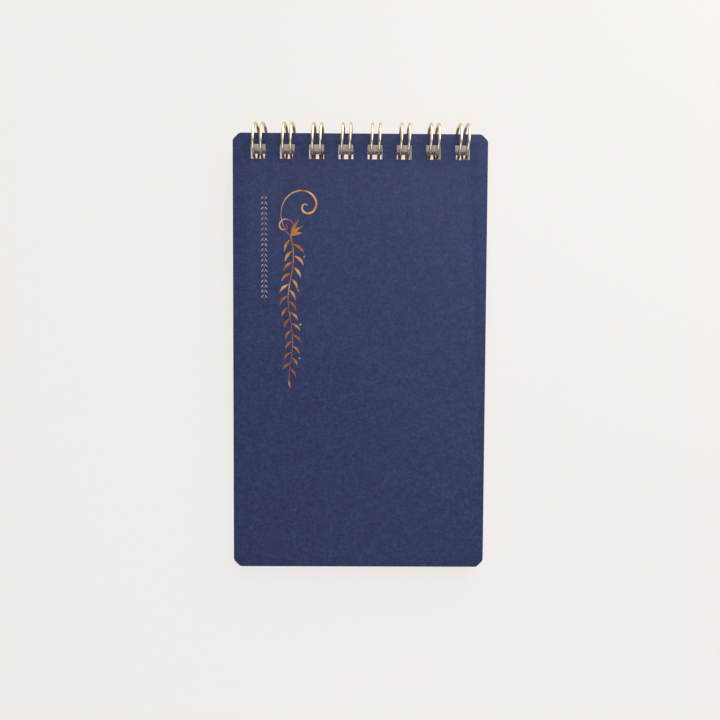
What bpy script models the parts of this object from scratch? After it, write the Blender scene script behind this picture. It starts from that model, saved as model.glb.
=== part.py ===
"""Pocket notebook: two covers and loose sheets held along the top edge by a closed twin-loop wire.

The notebook lies on its back cover. +X runs along the bound edge, +Y points past that edge and +Z
comes out of the front cover. The origin is under the middle of the whole object, at the lowest
point of the wire. Lengths are in metres.
"""

import math

import bpy

# Leaves (covers and sheets), all cut to one outline
LEAF_WIDTH = 0.0740
LEAF_HEIGHT = 0.1268
CORNER_CUT = 0.0019
CORNER_EASE_RADIUS = 0.0015
COVER_CORNER_STEPS = 3
SHEET_CORNER_STEPS = 1

# Thickness of each kind of leaf, the air between them, and how far the back cover hangs below them
FRONT_COVER_THICKNESS = 0.00045
BACK_COVER_THICKNESS = 0.00120
SHEET_COUNT = 40
SHEET_THICKNESS = 0.000076
SHEET_PITCH = 0.0001105
FRONT_COVER_GAP = 0.00015
BACK_COVER_GAP = 0.00010
BACK_COVER_DROP = 0.00045

# Punched holes: three to an inch, in one row along the bound edge
HOLE_COUNT = 8
HOLE_PITCH = 0.0254 / 3
HOLE_WIDTH = 0.0043
HOLE_LENGTH = 0.0043
HOLE_MARGIN = 0.00305

# Twin-loop wire
WIRE_DIAMETER = 0.0008
RING_DIAMETER = 0.0110
RING_BEYOND_EDGE = 0.0037
LOOP_WIDTH = 0.00225
BASE_CORNER_RADIUS = 0.0012
TIP_TO_BASE = 0.0001
END_STUB = 0.0006
LOOP_LEAN = 0.045
SEAM_ANGLE = math.radians(-80)
LEG_STEPS = 28
TIP_STEPS = 6
CORNER_STEPS = 3

# Where the stack sits in the rings, and the line that the leaves turn about
FRONT_FACE_ABOVE_CENTRE = 0.00204
HINGE_INSIDE_EDGE = 0.00036
HINGE_ABOVE_CENTRE = 0.00070

# Worked out from the sizes above
RING_RADIUS = RING_DIAMETER / 2
WIRE_PATH_RADIUS = RING_RADIUS - WIRE_DIAMETER / 2
BOUND_EDGE_Y = (LEAF_HEIGHT + BACK_COVER_DROP - RING_BEYOND_EDGE) / 2
RING_Y = BOUND_EDGE_Y + RING_BEYOND_EDGE - RING_RADIUS
RING_Z = RING_RADIUS
HOLES_Y = BOUND_EDGE_Y - HOLE_MARGIN - HOLE_LENGTH / 2
FRONT_FACE_Z = RING_Z + FRONT_FACE_ABOVE_CENTRE
FIRST_SHEET_TOP_Z = FRONT_FACE_Z - FRONT_COVER_THICKNESS - FRONT_COVER_GAP
SHEETS_BOTTOM_Z = FIRST_SHEET_TOP_Z - (SHEET_COUNT - 1) * SHEET_PITCH - SHEET_THICKNESS
BACK_COVER_TOP_Z = SHEETS_BOTTOM_Z - BACK_COVER_GAP
HINGE_Y = BOUND_EDGE_Y - HINGE_INSIDE_EDGE
HINGE_Z = RING_Z + HINGE_ABOVE_CENTRE

COVER_NAVY = (0.040, 0.048, 0.122)
PAPER_CREAM = (0.86, 0.83, 0.77)
BOARD_BROWN = (0.36, 0.26, 0.20)
WIRE_GOLD = (0.80, 0.58, 0.33)


def clear_scene():
    for scene_object in list(bpy.data.objects):
        bpy.data.objects.remove(scene_object, do_unlink=True)


def plain_material(name, colour, roughness, metallic=0.0):
    material = bpy.data.materials.new(name)
    material.use_nodes = True
    shader = material.node_tree.nodes["Principled BSDF"]
    shader.inputs["Base Color"].default_value = (*colour, 1.0)
    shader.inputs["Roughness"].default_value = roughness
    shader.inputs["Metallic"].default_value = metallic
    return material


def arc(centre, radius, start, end, steps):
    """The points of an arc, both ends included, with its angles in degrees."""
    points = []
    for step in range(steps + 1):
        angle = math.radians(start + (end - start) * step / steps)
        x = centre[0] + radius * math.cos(angle)
        y = centre[1] + radius * math.sin(angle)
        points.append((x, y))
    return points


def cut_corner(half_width, half_height, steps):
    """The corner at +X and +Y: cut at 45 degrees, with both ends of the cut eased by a small arc."""
    radius = CORNER_EASE_RADIUS
    inset = CORNER_CUT + radius * math.tan(math.radians(45 / 2))
    side_end = arc((half_width - radius, half_height - inset), radius, 0, 45, steps)
    top_end = arc((half_width - inset, half_height - radius), radius, 45, 90, steps)
    return side_end + top_end


def leaf_outline(corner_steps):
    """A leaf's edge with its four cut corners, centred on the leaf."""
    halves = [LEAF_WIDTH / 2, LEAF_HEIGHT / 2]
    outline = []
    for quarter in range(4):
        corner = cut_corner(*halves, corner_steps)
        for turn in range(quarter):
            corner = [(-y, x) for x, y in corner]
        outline += corner
        halves.reverse()
    return [(x, y, 0.0) for x, y in outline]


def hole_centre_x(index):
    return (index - (HOLE_COUNT - 1) / 2) * HOLE_PITCH


def hole_outline(index):
    centre_x = hole_centre_x(index)
    top = LEAF_HEIGHT / 2 - HOLE_MARGIN
    left = centre_x - HOLE_WIDTH / 2
    right = centre_x + HOLE_WIDTH / 2
    bottom = top - HOLE_LENGTH
    return [(left, bottom, 0.0), (right, bottom, 0.0), (right, top, 0.0), (left, top, 0.0)]


def add_poly_spline(curve, points, cyclic):
    spline = curve.splines.new("POLY")
    spline.points.add(len(points) - 1)
    for spline_point, position in zip(spline.points, points):
        spline_point.co = (*position, 1.0)
    spline.use_cyclic_u = cyclic


def punched_leaf(name, collection, thickness, top_z, corner_steps, material, hinge, drop=0.0):
    """One cover or sheet. A hinge is given for a leaf that turns, and becomes its parent."""
    curve = bpy.data.curves.new(name, "CURVE")
    curve.dimensions = "2D"
    curve.fill_mode = "BOTH"
    curve.extrude = thickness / 2
    add_poly_spline(curve, leaf_outline(corner_steps), cyclic=True)
    for index in range(HOLE_COUNT):
        add_poly_spline(curve, hole_outline(index), cyclic=True)
    curve.materials.append(material)
    leaf = bpy.data.objects.new(name, curve)
    leaf.location = (0.0, BOUND_EDGE_Y - drop - LEAF_HEIGHT / 2, top_z - thickness / 2)
    if hinge is not None:
        leaf.parent = hinge
        leaf.location -= hinge.location
    collection.objects.link(leaf)
    return leaf


def flat_wire_route():
    """The wire before it is rolled up: x along the bound edge, and length along a loop's leg."""
    half_loop = LOOP_WIDTH / 2
    corner = BASE_CORNER_RADIUS
    tip = 2 * math.pi * WIRE_PATH_RADIUS - TIP_TO_BASE
    leg_start = corner
    leg_end = tip - half_loop
    route = []
    for index in range(HOLE_COUNT):
        centre_x = hole_centre_x(index)
        left = centre_x - half_loop
        right = centre_x + half_loop
        if index == 0:
            route.append((left - corner - END_STUB, 0.0))
        route += arc((left - corner, corner), corner, -90, 0, CORNER_STEPS)
        leg = [leg_start + (leg_end - leg_start) * step / LEG_STEPS for step in range(1, LEG_STEPS)]
        route += [(left, length) for length in leg]
        route += arc((centre_x, leg_end), half_loop, 180, 0, TIP_STEPS)
        route += [(right, length) for length in reversed(leg)]
        route += arc((right + corner, corner), corner, 180, 270, CORNER_STEPS)
        if index == HOLE_COUNT - 1:
            route.append((right + corner + END_STUB, 0.0))
    return route


def rolled_up(flat_point):
    """Carries a point of the flat wire onto the closed ring, which starts and ends at the seam.

    The loops lean a little, so that only where they pass the holes are they centred in them.
    """
    x, length = flat_point
    angle = SEAM_ANGLE - length / WIRE_PATH_RADIUS
    y = RING_Y + WIRE_PATH_RADIUS * math.cos(angle)
    z = RING_Z + WIRE_PATH_RADIUS * math.sin(angle)
    return (x + LOOP_LEAN * (y - HOLES_Y), y, z)


def twin_loop_wire(name, collection, material):
    curve = bpy.data.curves.new(name, "CURVE")
    curve.dimensions = "3D"
    curve.bevel_depth = WIRE_DIAMETER / 2
    curve.bevel_resolution = 2
    curve.use_fill_caps = True
    add_poly_spline(curve, [rolled_up(point) for point in flat_wire_route()], cyclic=False)
    curve.materials.append(material)
    wire = bpy.data.objects.new(name, curve)
    collection.objects.link(wire)
    return wire


def build_notebook():
    clear_scene()
    collection = bpy.data.collections.new("pocket_notebook")
    bpy.context.scene.collection.children.link(collection)

    hinge = bpy.data.objects.new("leaf_hinge", None)
    hinge.location = (0.0, HINGE_Y, HINGE_Z)
    collection.objects.link(hinge)

    navy = plain_material("cover_navy", COVER_NAVY, 0.65)
    board = plain_material("board_brown", BOARD_BROWN, 0.85)
    paper = plain_material("paper_cream", PAPER_CREAM, 0.8)
    gold = plain_material("wire_gold", WIRE_GOLD, 0.25, metallic=1.0)

    punched_leaf(
        "front_cover", collection, FRONT_COVER_THICKNESS, FRONT_FACE_Z, COVER_CORNER_STEPS, navy, hinge
    )
    for index in range(SHEET_COUNT):
        sheet_top_z = FIRST_SHEET_TOP_Z - index * SHEET_PITCH
        sheet_name = f"sheet_{index + 1:02d}"
        punched_leaf(
            sheet_name, collection, SHEET_THICKNESS, sheet_top_z, SHEET_CORNER_STEPS, paper, hinge
        )
    punched_leaf(
        "back_cover",
        collection,
        BACK_COVER_THICKNESS,
        BACK_COVER_TOP_Z,
        COVER_CORNER_STEPS,
        board,
        None,
        BACK_COVER_DROP,
    )
    twin_loop_wire("twin_loop_wire", collection, gold)


build_notebook()
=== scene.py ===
"""The looks of the pocket notebook: card, paper, board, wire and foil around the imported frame."""

import math
import random

import bmesh
import bpy
from mathutils import Matrix, Vector


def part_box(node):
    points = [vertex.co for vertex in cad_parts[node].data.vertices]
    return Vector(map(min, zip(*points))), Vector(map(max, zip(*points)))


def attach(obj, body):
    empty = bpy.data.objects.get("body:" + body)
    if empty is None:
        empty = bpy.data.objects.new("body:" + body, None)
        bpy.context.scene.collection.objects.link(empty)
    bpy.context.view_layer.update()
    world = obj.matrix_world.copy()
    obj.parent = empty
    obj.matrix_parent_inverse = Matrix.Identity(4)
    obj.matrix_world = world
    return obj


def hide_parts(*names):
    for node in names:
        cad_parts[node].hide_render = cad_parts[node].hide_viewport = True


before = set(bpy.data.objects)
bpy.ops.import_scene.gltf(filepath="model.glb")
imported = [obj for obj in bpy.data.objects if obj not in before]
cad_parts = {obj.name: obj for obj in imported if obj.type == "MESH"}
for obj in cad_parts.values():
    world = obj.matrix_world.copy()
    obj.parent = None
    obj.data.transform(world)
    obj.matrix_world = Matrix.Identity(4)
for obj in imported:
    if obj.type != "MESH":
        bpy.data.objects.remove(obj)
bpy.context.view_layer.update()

MM = 0.001

# Holes, corners and wire, in the sizes that the CAD has
HOLE_COUNT = 8
HOLE_PITCH = 25.4 * MM / 3
HOLE_WIDTH = 4.3 * MM
HOLE_LENGTH = 4.3 * MM
HOLE_MARGIN = 3.05 * MM
CORNER_CUT = 1.9 * MM
CORNER_EASE_RADIUS = 1.5 * MM
WIRE_DIAMETER = 0.8 * MM
LOOP_WIDTH = 2.25 * MM
LOOP_LEAN = 0.045
BASE_CORNER_RADIUS = 1.2 * MM
TIP_TO_BASE = 0.1 * MM
END_STUB = 0.6 * MM
SEAM_ANGLE = math.radians(-80)

# The frame's own places
COVER_LOW, COVER_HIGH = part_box("front_cover")
BACK_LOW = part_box("back_cover")[0]
WIRE_LOW, WIRE_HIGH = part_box("twin_loop_wire")
BOUND_EDGE_Y = COVER_HIGH.y
COVER_TOP_Z = COVER_HIGH.z
RING_RADIUS = (WIRE_HIGH.z - WIRE_LOW.z) / 2
RING_Y = WIRE_HIGH.y - RING_RADIUS
RING_Z = (WIRE_HIGH.z + WIRE_LOW.z) / 2
HOLES_Y = BOUND_EDGE_Y - HOLE_MARGIN - HOLE_LENGTH / 2
SHEETS = sorted(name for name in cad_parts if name.startswith("sheet_"))
SHEET_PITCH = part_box(SHEETS[0])[1].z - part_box(SHEETS[1])[1].z


# ---------------------------------------------------------------- camera, light and floor

CAMERA_LENS = 26.4
CAMERA_SHIFT_UP = 0.0477
CAMERA_FROM_BOUND_EDGE = (-0.65 * MM, -70.2 * MM, 155.25 * MM)
CAMERA_TILT = (-1.97, -0.31, 0.29)
BRIGHT_DIRECTION = (0.10, 0.93, 0.35)
WORLD_STRENGTH = 3.1
FLOOR_HALF_WIDTH = 6.0
FLOOR_CLEARANCE = 0.02 * MM

# How bright the world is, from straight away from the bright direction, 0, to straight along it, 1
WORLD_STOPS = ((0.0, 0.11), (0.20, 0.12), (0.54, 0.13), (0.68, 0.16), (0.90, 0.23), (0.955, 1.0))


def add_camera():
    """A wide lens close above the lower middle of the cover, as the photograph was taken."""
    data = bpy.data.cameras.new("camera")
    data.sensor_width = 36
    data.lens = CAMERA_LENS
    data.shift_y = CAMERA_SHIFT_UP
    data.clip_start = 0.01
    camera = bpy.data.objects.new("camera", data)
    across, along, above = CAMERA_FROM_BOUND_EDGE
    camera.location = (across, BOUND_EDGE_Y + along, COVER_TOP_Z + above)
    camera.rotation_euler = [math.radians(angle) for angle in CAMERA_TILT]
    bpy.context.scene.collection.objects.link(camera)
    bpy.context.scene.camera = camera


def add_square_lamp(name, position, target, side, power, colour=(1.0, 1.0, 1.0)):
    data = bpy.data.lights.new(name, "AREA")
    data.shape = "SQUARE"
    data.size = side
    data.energy = power
    data.color = colour
    light = bpy.data.objects.new(name, data)
    light.visible_camera = False
    light.location = position
    direction = Vector(target) - Vector(position)
    light.rotation_euler = direction.to_track_quat("-Z", "Y").to_euler()
    bpy.context.scene.collection.objects.link(light)


def add_world():
    """Dim light from all round, and bright light from low beyond the bound edge."""
    world = bpy.data.worlds.new("studio")
    world.use_nodes = True
    tree = world.node_tree
    place = tree.nodes.new("ShaderNodeTexCoord")
    facing = tree.nodes.new("ShaderNodeVectorMath")
    facing.operation = "DOT_PRODUCT"
    facing.inputs[1].default_value = Vector(BRIGHT_DIRECTION).normalized()
    tree.links.new(place.outputs["Generated"], facing.inputs[0])
    strength = tree.nodes.new("ShaderNodeValToRGB")
    strength.color_ramp.interpolation = "EASE"
    while len(strength.color_ramp.elements) < len(WORLD_STOPS):
        strength.color_ramp.elements.new(0.5)
    for element, (position, level) in zip(strength.color_ramp.elements, WORLD_STOPS):
        element.position = position
        element.color = (level, level, level, 1.0)
    half = tree.nodes.new("ShaderNodeMapRange")
    half.inputs["From Min"].default_value = -1.0
    tree.links.new(facing.outputs["Value"], half.inputs["Value"])
    tree.links.new(half.outputs["Result"], strength.inputs["Fac"])
    background = tree.nodes["Background"]
    background.inputs["Strength"].default_value = WORLD_STRENGTH
    tree.links.new(strength.outputs["Color"], background.inputs["Color"])
    bpy.context.scene.world = world


def add_lamps():
    """One lamp to the right of the bound edge, and one that lights the holes from the near side."""
    add_square_lamp("right_lamp", (0.16, 0.17, 0.18), target=(0, 0, 0), side=0.30, power=0.82)
    near_place = (-0.05, -0.40, 0.60)
    near_colour = (0.97, 0.93, 1.0)
    add_square_lamp("near_lamp", near_place, (0, 0.06, 0), side=0.50, power=1.9, colour=near_colour)


def add_floor(material):
    """A floor that slopes to meet what the notebook rests on: its loops and the back cover's far edge."""
    far_edge = Vector((0, BACK_LOW.y, BACK_LOW.z))
    ring_centre = Vector((0, RING_Y, RING_Z))
    across = ring_centre - far_edge
    distance = math.hypot(across.y, across.z)
    slope = math.atan2(across.z, across.y) - math.asin(RING_RADIUS / distance)
    mesh = bpy.data.meshes.new("floor")
    half = FLOOR_HALF_WIDTH
    corners = [(-half, -half, 0), (half, -half, 0), (half, half, 0), (-half, half, 0)]
    mesh.from_pydata(corners, [], [(0, 1, 2, 3)])
    mesh.materials.append(material)
    floor = bpy.data.objects.new("floor", mesh)
    floor.rotation_euler = (slope, 0, 0)
    floor.location = far_edge - Vector((0, 0, FLOOR_CLEARANCE))
    bpy.context.scene.collection.objects.link(floor)


# ---------------------------------------------------------------- materials

RULE_SPACING = 6.5 * MM
RULE_WIDTH = 0.22 * MM
RULE_DEPTH = 0.45
RULES_TOP = BOUND_EDGE_Y - 13 * MM
OUTER_BAND = 1.95 * MM
# How deep the painted shade on the outer cut edges of each paper is
EDGE_SHADES = (0.30, 0.50, 0.70, 0.95)
# Painted shade on the wire, for the shade and dark reflections low in the rings: the slope of the plane
# where it ends, and its heights above the ring centre where it is full and where it is gone
WIRE_SHADE_SLOPE = 0.3
WIRE_SHADE_FULL = 0.3 * MM
WIRE_SHADE_NONE = 1.3 * MM

# The sockets of a Mix node that mixes colours
MIX_FACTOR, MIX_FIRST, MIX_SECOND = 0, 6, 7
MIX_RESULT = 2


class Shader:
    """A material's node tree, with short calls to add and join nodes."""

    def __init__(self, name):
        self.material = bpy.data.materials.new(name)
        self.material.use_nodes = True
        self.tree = self.material.node_tree
        self.surface = self.tree.nodes["Principled BSDF"]
        coordinates = self.add("ShaderNodeTexCoord")
        self.place = coordinates.outputs["Object"]
        self.facing = coordinates.outputs["Normal"]

    def add(self, kind, inputs=None, **settings):
        node = self.tree.nodes.new(kind)
        for key, value in settings.items():
            setattr(node, key, value)
        for key, value in (inputs or {}).items():
            if isinstance(value, bpy.types.NodeSocket):
                self.tree.links.new(value, node.inputs[key])
            else:
                node.inputs[key].default_value = value
        return node

    def set(self, **values):
        for key, value in values.items():
            self.surface.inputs[key.replace("_", " ")].default_value = value

    def join(self, output, socket):
        self.tree.links.new(output, self.surface.inputs[socket])

    def split(self, vector):
        return self.add("ShaderNodeSeparateXYZ", {"Vector": vector}).outputs

    def noise(self, scale, detail=2.0, roughness=0.5, stretch=(1, 1, 1), distortion=0.0):
        """Noise with features about 1 / scale metres across, longer where an axis's stretch is low."""
        mapping = self.add("ShaderNodeMapping", {"Vector": self.place, "Scale": stretch})
        inputs = {
            "Vector": mapping.outputs["Vector"],
            "Scale": scale,
            "Detail": detail,
            "Roughness": roughness,
            "Distortion": distortion,
        }
        return self.add("ShaderNodeTexNoise", inputs).outputs["Fac"]

    def ramp(self, factor, *stops):
        node = self.add("ShaderNodeValToRGB", {"Fac": factor})
        elements = node.color_ramp.elements
        while len(elements) < len(stops):
            elements.new(0.5)
        for element, (position, colour) in zip(elements, stops):
            element.position = position
            element.color = (*colour, 1.0)
        return node.outputs["Color"]

    def level(self, factor, low, high, start=0.3, end=0.7):
        """Carries the factor's start to end onto low to high."""
        inputs = {"Value": factor, "From Min": start, "From Max": end, "To Min": low, "To Max": high}
        return self.add("ShaderNodeMapRange", inputs).outputs["Result"]

    def mix(self, factor, first, second):
        """Goes from the first colour to the second as the factor, another node's output, rises."""
        node = self.add("ShaderNodeMix", data_type="RGBA")
        self.tree.links.new(factor, node.inputs[MIX_FACTOR])
        for index, colour in ((MIX_FIRST, first), (MIX_SECOND, second)):
            if isinstance(colour, bpy.types.NodeSocket):
                self.tree.links.new(colour, node.inputs[index])
            else:
                node.inputs[index].default_value = (*colour, 1.0)
        return node.outputs[MIX_RESULT]

    def math(self, operation, first, second=0.0):
        return self.add("ShaderNodeMath", {0: first, 1: second}, operation=operation).outputs["Value"]

    def rim(self, most):
        """Rises from 0 on a leaf's two faces to most on its cut edges."""
        upright = self.math("ABSOLUTE", self.split(self.facing)["Z"])
        return self.level(upright, most, 0.0, 0.5, 0.95)

    def bump(self, height, strength, distance):
        inputs = {"Height": height, "Strength": strength, "Distance": distance}
        node = self.add("ShaderNodeBump", inputs)
        self.join(node.outputs["Normal"], "Normal")


def fibres(shader, scale):
    """Fine fibres lying both ways across the leaf, as a factor from 0 to 1."""
    along = shader.noise(scale, 3.0, 0.6, (0.42, 1.0, 1.0), 1.2)
    up = shader.noise(scale * 1.1, 3.0, 0.6, (1.0, 0.38, 1.0), 1.4)
    return shader.math("MULTIPLY", shader.math("ADD", along, up), 0.5)


def card_material():
    """Navy card, dyed through, with soft mottling, a fibrous grain and a painted highlight on its cut
    edges.
    """
    shader = Shader("navy_card")
    mottle = shader.noise(220, 4.0, 0.62)
    grain = fibres(shader, 1500)
    soft_tone = shader.level(mottle, -0.25, 0.25)
    fine_tone = shader.level(grain, -1.0, 1.0, 0.41, 0.59)
    factor = shader.level(shader.math("ADD", soft_tone, fine_tone), 0.0, 1.0, -1.2, 1.2)
    colour = shader.ramp(
        factor,
        (0.0, (0.0070, 0.0126, 0.0515)),
        (0.5, (0.0132, 0.0209, 0.0688)),
        (1.0, (0.0216, 0.0319, 0.0912)),
    )
    fleck = shader.noise(900, 2.0, 0.5, (0.35, 1.0, 1.0), 2.0)
    shown = shader.level(fleck, 0.0, 0.30, 0.68, 0.78)
    colour = shader.mix(shown, colour, (0.058, 0.074, 0.158))
    # Painted highlight: the cut edges a lighter navy
    colour = shader.mix(shader.rim(0.55), colour, (0.040, 0.052, 0.121))
    shader.join(colour, "Base Color")
    shader.join(shader.level(grain, 0.66, 0.84), "Roughness")
    shader.set(Specular_IOR_Level=0.25)
    fine = shader.noise(5200, 3.0, 0.65)
    height = shader.math("ADD", shader.math("MULTIPLY", grain, 0.7), shader.math("MULTIPLY", fine, 0.3))
    shader.bump(height, 0.45, 0.03 * MM)
    return shader.material


def paper_material(number, edge_shade):
    """White writing paper: a cloudy formation, fine fibres and, on its faces, a faint ruling.

    The cut edges are a shade darker in places. Those round the outside of the sheet also carry a painted
    shade, as deep as the second argument says, and those inside the holes do not.
    """
    shader = Shader(f"writing_paper_{number}")
    cloud = shader.noise(420, 3.0, 0.6)
    grain = fibres(shader, 2600)
    factor = shader.level(shader.math("ADD", cloud, grain), 0.0, 1.0, 0.75, 1.25)
    colour = shader.mix(factor, (0.90, 0.87, 0.88), (0.95, 0.93, 0.94))
    on_edges = shader.rim(1.0)
    shade = shader.level(shader.noise(1.0, 2.0, 0.6, (60, 60, 9000)), 0.0, 0.8, 0.42, 0.66)
    colour = shader.mix(shader.math("MULTIPLY", shade, on_edges), colour, (0.79, 0.76, 0.77))
    place = shader.split(shader.place)
    up = place["Y"]
    across = shader.math("ABSOLUTE", place["X"])
    # Painted shade on the cut edges round the outside of the sheet, where the light falls strongest, and
    # not inside the holes
    outer = shader.math("GREATER_THAN", across, COVER_HIGH.x - OUTER_BAND)
    outer = shader.math("MAXIMUM", outer, shader.math("GREATER_THAN", up, BOUND_EDGE_Y - OUTER_BAND))
    outer = shader.math("MAXIMUM", outer, shader.math("LESS_THAN", up, COVER_LOW.y + OUTER_BAND))
    painted_edge_shade = shader.math("MULTIPLY", outer, shader.rim(edge_shade))
    colour = shader.mix(painted_edge_shade, colour, (0.58, 0.56, 0.55))
    lines = shader.math("FRACT", shader.math("DIVIDE", up, RULE_SPACING))
    ruled = shader.math("LESS_THAN", lines, RULE_WIDTH / RULE_SPACING)
    below_holes = shader.math("LESS_THAN", up, RULES_TOP)
    on_faces = shader.math("SUBTRACT", 1.0, on_edges)
    ruled = shader.math("MULTIPLY", ruled, shader.math("MULTIPLY", below_holes, on_faces))
    ruled = shader.math("MULTIPLY", ruled, RULE_DEPTH)
    colour = shader.mix(ruled, colour, (0.47, 0.50, 0.58))
    shader.join(colour, "Base Color")
    shader.join(shader.level(grain, 0.78, 0.92), "Roughness")
    shader.set(Specular_IOR_Level=0.25)
    shader.bump(grain, 0.3, 0.02 * MM)
    return shader.material


def board_material():
    """Solid brown board made of pulp in thin layers, with darker and lighter specks and a painted shade
    on its cut edges.
    """
    shader = Shader("brown_board")
    cloud = shader.noise(240, 4.0, 0.6)
    grain = fibres(shader, 1300)
    factor = shader.level(shader.math("ADD", cloud, grain), 0.0, 1.0, 0.75, 1.25)
    layers = shader.noise(5200, 2.0, 0.6, (0.03, 0.03, 1.0))
    factor = shader.math("MULTIPLY", factor, shader.level(layers, 0.45, 1.0, 0.38, 0.62))
    colour = shader.mix(factor, (0.390, 0.270, 0.235), (0.500, 0.365, 0.325))
    dark = shader.level(shader.noise(2200, 1.0, 0.5, (1, 0.5, 1)), 0.0, 0.55, 0.69, 0.76)
    colour = shader.mix(dark, colour, (0.16, 0.105, 0.08))
    pale = shader.level(shader.noise(1700, 1.0, 0.5, (0.4, 1, 1), 1.0), 0.0, 0.45, 0.70, 0.78)
    colour = shader.mix(pale, colour, (0.60, 0.48, 0.41))
    # Painted shade: the cut edges a darker brown
    colour = shader.mix(shader.rim(0.6), colour, (0.255, 0.160, 0.140))
    shader.join(colour, "Base Color")
    shader.join(shader.level(grain, 0.80, 0.95), "Roughness")
    shader.set(Specular_IOR_Level=0.2)
    shader.bump(shader.math("ADD", grain, cloud), 0.4, 0.04 * MM)
    return shader.material


def wire_material():
    """Gold-toned plating with small scuffs, and a dark red painted shade on the rings' lower part.

    The painted shade ends at a plane that slopes down beyond the bound edge, so the loops stay bright
    there.
    """
    shader = Shader("gold_plated_wire")
    dull = shader.level(shader.noise(700, 3.0, 0.6), 0.0, 1.0, 0.35, 0.7)
    colour = shader.mix(dull, (0.76, 0.61, 0.42), (0.63, 0.49, 0.32))
    place = shader.split(shader.place)
    # Painted shade: dark red below a plane that slopes down beyond the bound edge
    height = shader.math("ADD", place["Z"], shader.math("MULTIPLY", place["Y"], WIRE_SHADE_SLOPE))
    centre = RING_Z + WIRE_SHADE_SLOPE * RING_Y
    painted_wire_shade = shader.level(height, 1.0, 0.0, centre + WIRE_SHADE_FULL, centre + WIRE_SHADE_NONE)
    colour = shader.mix(painted_wire_shade, colour, (0.29, 0.150, 0.090))
    shader.join(colour, "Base Color")
    scuffs = shader.noise(3500, 2.0, 0.6)
    shader.join(shader.level(scuffs, 0.14, 0.28), "Roughness")
    shader.set(Metallic=1.0)
    shader.bump(scuffs, 0.12, 0.01 * MM)
    return shader.material


def foil_material(name, low, high):
    """Hot-stamped metal foil, which shows the card's grain and shades between two tones."""
    shader = Shader(name)
    drift = shader.noise(190, 2.0, 0.5)
    colour = shader.mix(shader.level(drift, 0.0, 1.0, 0.41, 0.59), low, high)
    shader.join(colour, "Base Color")
    grain = fibres(shader, 1500)
    shader.join(shader.level(grain, 0.24, 0.42), "Roughness")
    shader.set(Metallic=1.0)
    shader.bump(grain, 0.5, 0.03 * MM)
    return shader.material


def floor_material():
    """A floor that owes its pale tone to a glow of its own, which keeps the shadows faint."""
    shader = Shader("pale_floor")
    colour = shader.mix(shader.noise(3.0, 2.0), (0.085, 0.082, 0.079), (0.095, 0.091, 0.088))
    shader.join(colour, "Base Color")
    shader.set(Roughness=0.9, Specular_IOR_Level=0.1)
    shader.surface.inputs["Emission Color"].default_value = (0.888, 0.855, 0.831, 1.0)
    shader.surface.inputs["Emission Strength"].default_value = 0.85
    return shader.material


# ---------------------------------------------------------------- leaves

WELD_DISTANCE = 0.0005 * MM
COVER_RIM = 0.05 * MM
BACK_RIM = 0.08 * MM
PAGE_RIM = 0.008 * MM
HOLE_CORNER_RADIUS = 0.12 * MM
PAGE_GAP = 0.006 * MM
PAGE_THICKNESS = SHEET_PITCH - PAGE_GAP
PAGE_TAPER = 3.0 * MM

# How far a page may lie from its node's place, across and along the leaf
PAGE_SHIFT_X = (-0.05 * MM, 0.05 * MM)
PAGE_SHIFT_Y = (-0.06 * MM, 0.02 * MM)


def arc(centre, radius, start, end, steps):
    """The points of an arc, both ends included, with its angles in degrees."""
    points = []
    for step in range(steps + 1):
        angle = math.radians(start + (end - start) * step / steps)
        points.append((centre[0] + radius * math.cos(angle), centre[1] + radius * math.sin(angle)))
    return points


def round_rectangle(low, high, radius, steps):
    left, bottom = low[0] + radius, low[1] + radius
    right, top = high[0] - radius, high[1] - radius
    outline = []
    for turn, centre in enumerate(((right, top), (left, top), (left, bottom), (right, bottom))):
        outline += arc(centre, radius, 90 * turn, 90 * (turn + 1), steps)
    return outline


def cut_corner(half_width, half_height, steps):
    """The corner at +X and +Y: cut at 45 degrees, with both ends of the cut eased by a small arc."""
    radius = CORNER_EASE_RADIUS
    inset = CORNER_CUT + radius * math.tan(math.radians(45 / 2))
    side_end = arc((half_width - radius, half_height - inset), radius, 0, 45, steps)
    top_end = arc((half_width - inset, half_height - radius), radius, 45, 90, steps)
    return side_end + top_end


def leaf_outline(low, high, steps):
    """The edge of a leaf with cut corners, between its lowest and highest corners."""
    centre_x = (low.x + high.x) / 2
    centre_y = (low.y + high.y) / 2
    halves = [(high.x - low.x) / 2, (high.y - low.y) / 2]
    outline = []
    for quarter in range(4):
        corner = cut_corner(*halves, steps)
        for turn in range(quarter):
            corner = [(-y, x) for x, y in corner]
        outline += [(centre_x + x, centre_y + y) for x, y in corner]
        halves.reverse()
    return outline


def hole_centre_x(index):
    return (index - (HOLE_COUNT - 1) / 2) * HOLE_PITCH


def add_outline(curve, points):
    spline = curve.splines.new("POLY")
    spline.points.add(len(points) - 1)
    for spline_point, (x, y) in zip(spline.points, points):
        spline_point.co = (x, y, 0, 1)
    spline.use_cyclic_u = True


def curve_to_mesh(curve_object, sharp_angle):
    """A mesh object in the curve's place, its caps welded to its sides."""
    bpy.context.scene.collection.objects.link(curve_object)
    graph = bpy.context.evaluated_depsgraph_get()
    mesh = bpy.data.meshes.new_from_object(curve_object.evaluated_get(graph))
    name = curve_object.name
    place = curve_object.matrix_world.copy()
    materials = list(curve_object.data.materials)
    curve = curve_object.data
    bpy.data.objects.remove(curve_object)
    bpy.data.curves.remove(curve)
    shape = bmesh.new()
    shape.from_mesh(mesh)
    bmesh.ops.remove_doubles(shape, verts=shape.verts, dist=WELD_DISTANCE)
    bmesh.ops.recalc_face_normals(shape, faces=shape.faces)
    shape.to_mesh(mesh)
    shape.free()
    mesh.name = name
    mesh.materials.clear()
    for material in materials:
        mesh.materials.append(material)
    mesh.shade_smooth()
    mesh.set_sharp_from_angle(angle=math.radians(sharp_angle))
    made = bpy.data.objects.new(name, mesh)
    bpy.context.scene.collection.objects.link(made)
    made.matrix_world = place
    return made


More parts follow.
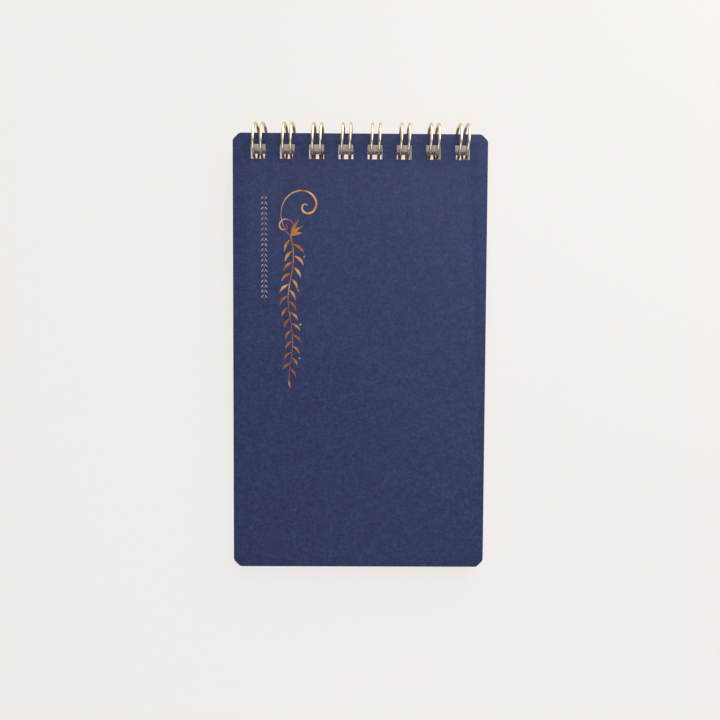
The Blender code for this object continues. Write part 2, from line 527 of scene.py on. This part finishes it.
def punched_leaf(name, node, material, rim, rim_steps, corner_steps, shift=(0, 0), thickness=None):
    """A leaf in the place of a CAD node, its cut rims rounded over by rim.

    It is as thick as the node, unless a thickness is given.
    """
    low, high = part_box(node)
    curve = bpy.data.curves.new(name, "CURVE")
    curve.dimensions = "2D"
    curve.fill_mode = "BOTH"
    curve.extrude = (thickness or high.z - low.z) / 2 - rim
    curve.bevel_depth = rim
    curve.bevel_resolution = rim_steps
    curve.offset = -rim
    add_outline(curve, leaf_outline(low, high, corner_steps))
    top = high.y - HOLE_MARGIN
    for index in range(HOLE_COUNT):
        centre_x = hole_centre_x(index)
        hole_low = (centre_x - HOLE_WIDTH / 2, top - HOLE_LENGTH)
        hole_high = (centre_x + HOLE_WIDTH / 2, top)
        hole = round_rectangle(hole_low, hole_high, HOLE_CORNER_RADIUS, 3)
        add_outline(curve, list(reversed(hole)))
    curve.materials.append(material)
    leaf = bpy.data.objects.new(name, curve)
    leaf.location = (shift[0], shift[1], (high.z + low.z) / 2)
    return curve_to_mesh(leaf, 50)


def thin_towards_edge(page, share):
    """Thins a page towards the bound edge, where turning leaves close up, to a share of its thickness."""
    edge = max(vertex.co.y for vertex in page.data.vertices)
    for vertex in page.data.vertices:
        inside = min((edge - vertex.co.y) / PAGE_TAPER, 1.0)
        vertex.co.z *= share + (1 - share) * inside


def add_leaves(card, papers, board):
    cover = punched_leaf("cover_card", "front_cover", card, COVER_RIM, rim_steps=2, corner_steps=8)
    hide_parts("front_cover")
    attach(cover, "front_cover")
    back = punched_leaf("back_board", "back_cover", board, BACK_RIM, rim_steps=2, corner_steps=8)
    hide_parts("back_cover")
    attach(back, "back_assembly")
    chance = random.Random(7)
    paper_chance = random.Random(11)
    for number, node in enumerate(SHEETS, 1):
        shift = (chance.uniform(*PAGE_SHIFT_X), chance.uniform(*PAGE_SHIFT_Y))
        name = f"page_{number:02d}"
        paper = paper_chance.choice(papers)
        page = punched_leaf(name, node, paper, PAGE_RIM, 0, 4, shift, PAGE_THICKNESS)
        low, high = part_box(node)
        thin_towards_edge(page, (high.z - low.z) / PAGE_THICKNESS)
        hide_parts(node)
        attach(page, node)


# ---------------------------------------------------------------- wire

def flat_wire_route(leg_steps, tip_steps, corner_steps):
    """The wire before it is rolled up: x along the bound edge, and length along a loop's leg."""
    half_loop = LOOP_WIDTH / 2
    corner = BASE_CORNER_RADIUS
    leg_end = 2 * math.pi * (RING_RADIUS - WIRE_DIAMETER / 2) - TIP_TO_BASE - half_loop
    route = []
    for index in range(HOLE_COUNT):
        centre_x = hole_centre_x(index)
        left, right = centre_x - half_loop, centre_x + half_loop
        if index == 0:
            route.append((left - corner - END_STUB, 0.0))
        route += arc((left - corner, corner), corner, -90, 0, corner_steps)
        leg = [corner + (leg_end - corner) * step / leg_steps for step in range(1, leg_steps)]
        route += [(left, length) for length in leg]
        route += arc((centre_x, leg_end), half_loop, 180, 0, tip_steps)
        route += [(right, length) for length in reversed(leg)]
        route += arc((right + corner, corner), corner, 180, 270, corner_steps)
        if index == HOLE_COUNT - 1:
            route.append((right + corner + END_STUB, 0.0))
    return route


def add_wire(material):
    """One wire bent into eight double loops, whose tips nest between the bars at the seam."""
    path_radius = RING_RADIUS - WIRE_DIAMETER / 2
    curve = bpy.data.curves.new("looped_wire", "CURVE")
    curve.dimensions = "3D"
    curve.bevel_depth = WIRE_DIAMETER / 2
    curve.bevel_resolution = 5
    curve.use_fill_caps = True
    route = flat_wire_route(leg_steps=72, tip_steps=16, corner_steps=8)
    spline = curve.splines.new("POLY")
    spline.points.add(len(route) - 1)
    for spline_point, (x, length) in zip(spline.points, route):
        angle = SEAM_ANGLE - length / path_radius
        y = RING_Y + path_radius * math.cos(angle)
        z = RING_Z + path_radius * math.sin(angle)
        spline_point.co = (x + LOOP_LEAN * (y - HOLES_Y), y, z, 1)
    curve.materials.append(material)
    wire = curve_to_mesh(bpy.data.objects.new("looped_wire", curve), 60)
    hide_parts("twin_loop_wire")
    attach(wire, "back_assembly")


# ---------------------------------------------------------------- foil stamping

# The foil's underside and top, from the cover's face, and how much higher each crossing stroke lies
FOIL_BASE = -0.010 * MM
FOIL_HEIGHT = 0.012 * MM
CROSSING_LIFT = 0.001 * MM
LEAFLET_LIFT = 0.0008 * MM
STROKE_END_WIDTH = 0.06 * MM
CURL_END_WIDTH = 0.10 * MM

SPRIG_X = -20.2 * MM
SPRIG_TOP = 29.6 * MM
SPRIG_LENGTH = 41.5 * MM
STEM_SWAY = 0.9 * MM
STEM_WIDTHS = (0.34 * MM, 0.14 * MM)

# Pairs of leaflets along the stem: places as shares of its length, and angles in degrees
LEAFLET_PAIRS = 12
LEAFLETS_START = 0.02
LEAFLETS_RUN = 0.95
LEAFLET_STAGGER = 0.018
LEAFLET_LENGTH = 4.3 * MM
LEAFLET_WIDTH = 0.85 * MM
LEAFLET_LEAN = 68
LEAFLET_BEND = 58
LEAFLET_SHRINK = 0.30
BERRY_BELOW = 0.042
BERRY_REACH = 3.2 * MM
BERRY_RADIUS = 0.30 * MM
TIP_HEADING = -92
TIP_LENGTH = 2.6 * MM
TIP_WIDTH = 0.6 * MM
TIP_BEND = 20

# At the sprig's head: heading, first radius, turn and width of curls, and heading and length of blades
HEAD_CURLS = ((140, 10 * MM, -560, 0.60 * MM), (40, 3.5 * MM, 480, 0.40 * MM))
CURL_LAST_RADIUS = 0.6 * MM
HEAD_BLADES = ((78, 5.4 * MM), (56, 4.6 * MM), (32, 3.6 * MM))
HEAD_BLADE_BEND = -34

# The row of paired leaflets beside the sprig, with angles in degrees
BORDER_X = -27.9 * MM
BORDER_TOP = 18.2 * MM
BORDER_SPACING = 1.5 * MM
BORDER_COUNT = 20
BORDER_LEAFLET_OUT = 0.16 * MM
BORDER_LEAFLET_LENGTH = 1.05 * MM
BORDER_LEAFLET_WIDTH = 0.24 * MM
BORDER_LEAFLET_LEAN = 55
BORDER_LEAFLET_BEND = 30
BORDER_DOT_BELOW = 0.70 * MM
BORDER_DOT_RADIUS = 0.11 * MM


def stroke(shape, points, widths, lift=0.0):
    """A flat ribbon of foil along the points, as wide as widths say at each."""
    base = COVER_TOP_Z + FOIL_BASE
    top = COVER_TOP_Z + FOIL_HEIGHT + lift
    sections = []
    for index, point in enumerate(points):
        before = points[max(index - 1, 0)]
        after = points[min(index + 1, len(points) - 1)]
        along = Vector((after[0] - before[0], after[1] - before[1])).normalized()
        side = Vector((-along.y, along.x)) * widths[index] / 2
        left, right = Vector(point) + side, Vector(point) - side
        corners = ((left, base), (right, base), (right, top), (left, top))
        sections.append([shape.verts.new((p.x, p.y, z)) for p, z in corners])
    for first, second in zip(sections, sections[1:]):
        for corner in range(4):
            following = (corner + 1) % 4
            shape.faces.new((first[corner], first[following], second[following], second[corner]))
    shape.faces.new(list(reversed(sections[0])))
    shape.faces.new(sections[-1])


def swell(share, least, most):
    """A width that is least at both ends and most in the middle."""
    return least + (most - least) * math.sin(math.pi * share) ** 1.3


def blade(shape, root, heading, length, width, bend, lift=0.0, steps=14):
    """A curved leaf-shaped stroke that starts at root."""
    points, widths = [], []
    x, y = root
    for step in range(steps + 1):
        share = step / steps
        points.append((x, y))
        widths.append(swell(share, STROKE_END_WIDTH, width))
        angle = heading + bend * share
        x += math.cos(angle) * length / steps
        y += math.sin(angle) * length / steps
    stroke(shape, points, widths, lift)


def curl(shape, root, heading, first_radius, turn, width, lift, steps=72):
    """A stroke that starts at root and winds up ever tighter, thick in the middle of its run."""
    x, y = root
    points, widths = [(x, y)], [CURL_END_WIDTH]
    for step in range(steps):
        share = (step + 0.5) / steps
        radius = first_radius * (CURL_LAST_RADIUS / first_radius) ** share
        heading += turn / steps
        advance = radius * abs(turn) / steps
        x += math.cos(heading) * advance
        y += math.sin(heading) * advance
        points.append((x, y))
        widths.append(swell(share, CURL_END_WIDTH, width))
    stroke(shape, points, widths, lift)


def disc(shape, centre, radius, sides=20):
    """A round dot of foil."""
    place = Matrix.Translation((centre[0], centre[1], COVER_TOP_Z + (FOIL_BASE + FOIL_HEIGHT) / 2))
    depth = FOIL_HEIGHT - FOIL_BASE
    bmesh.ops.create_cone(
        shape, cap_ends=True, segments=sides, radius1=radius, radius2=radius, depth=depth, matrix=place
    )


def foil_object(name, shape, material):
    bmesh.ops.recalc_face_normals(shape, faces=shape.faces)
    mesh = bpy.data.meshes.new(name)
    shape.to_mesh(mesh)
    shape.free()
    mesh.materials.append(material)
    foil = bpy.data.objects.new(name, mesh)
    bpy.context.scene.collection.objects.link(foil)
    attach(foil, "front_cover")


def stem_point(share):
    """The stem sways from side to side on its way down, less and less."""
    x = SPRIG_X + STEM_SWAY * math.sin(3.4 * math.pi * share) * (1 - 0.45 * share)
    return x, BOUND_EDGE_Y - SPRIG_TOP - SPRIG_LENGTH * share


def add_sprig(material):
    """A trailing sprig with two curls at its head, down the left of the cover."""
    shape = bmesh.new()
    steps = 90
    points = [stem_point(step / steps) for step in range(steps + 1)]
    thick, thin = STEM_WIDTHS
    widths = [thick + (thin - thick) * step / steps for step in range(steps + 1)]
    stroke(shape, points, widths)
    for index in range(LEAFLET_PAIRS):
        share = LEAFLETS_START + LEAFLETS_RUN * index / LEAFLET_PAIRS
        x, y = stem_point(share)
        ahead = stem_point(share + 0.01)
        heading = math.atan2(ahead[1] - y, ahead[0] - x)
        size = 1.0 - LEAFLET_SHRINK * share
        lift = LEAFLET_LIFT * (index + 1)
        for side in (-1, 1):
            root = stem_point(share + LEAFLET_STAGGER * (side + 1))
            angle = heading + side * math.radians(LEAFLET_LEAN)
            bend = -side * math.radians(LEAFLET_BEND)
            blade(shape, root, angle, LEAFLET_LENGTH * size, LEAFLET_WIDTH * size, bend, lift)
        if index % 3 == 1:
            berry = stem_point(share + BERRY_BELOW)
            disc(shape, (berry[0] + BERRY_REACH * size, berry[1]), BERRY_RADIUS)
    tip_heading, tip_bend = math.radians(TIP_HEADING), math.radians(TIP_BEND)
    blade(shape, stem_point(1.0), tip_heading, TIP_LENGTH, TIP_WIDTH, tip_bend)
    top = stem_point(0.0)
    for layer, (heading, radius, turn, width) in enumerate(HEAD_CURLS, 1):
        lift = CROSSING_LIFT * layer
        curl(shape, top, math.radians(heading), radius, math.radians(turn), width, lift)
    bend = math.radians(HEAD_BLADE_BEND)
    for heading, length in HEAD_BLADES:
        blade(shape, top, math.radians(heading), length, LEAFLET_WIDTH, bend, CROSSING_LIFT * 3)
    foil_object("foil_sprig", shape, material)


def add_border(material):
    """A fine row of paired leaflets beside the sprig."""
    shape = bmesh.new()
    for index in range(BORDER_COUNT):
        y = BOUND_EDGE_Y - BORDER_TOP - BORDER_SPACING * index
        for side in (-1, 1):
            root = (BORDER_X + side * BORDER_LEAFLET_OUT, y)
            heading = math.radians(-90 + side * BORDER_LEAFLET_LEAN)
            bend = -side * math.radians(BORDER_LEAFLET_BEND)
            blade(shape, root, heading, BORDER_LEAFLET_LENGTH, BORDER_LEAFLET_WIDTH, bend, steps=6)
        disc(shape, (BORDER_X, y - BORDER_DOT_BELOW), BORDER_DOT_RADIUS, 12)
    foil_object("foil_border", shape, material)


# ---------------------------------------------------------------- the whole scene

bpy.context.scene.view_settings.view_transform = "Standard"
add_camera()
add_world()
add_lamps()
add_floor(floor_material())
papers = [paper_material(number, edge_shade) for number, edge_shade in enumerate(EDGE_SHADES, 1)]
add_leaves(card_material(), papers, board_material())
add_wire(wire_material())
add_sprig(foil_material("copper_foil", (0.42, 0.14, 0.035), (0.80, 0.44, 0.19)))
add_border(foil_material("pale_foil", (0.50, 0.36, 0.23), (0.74, 0.60, 0.43)))
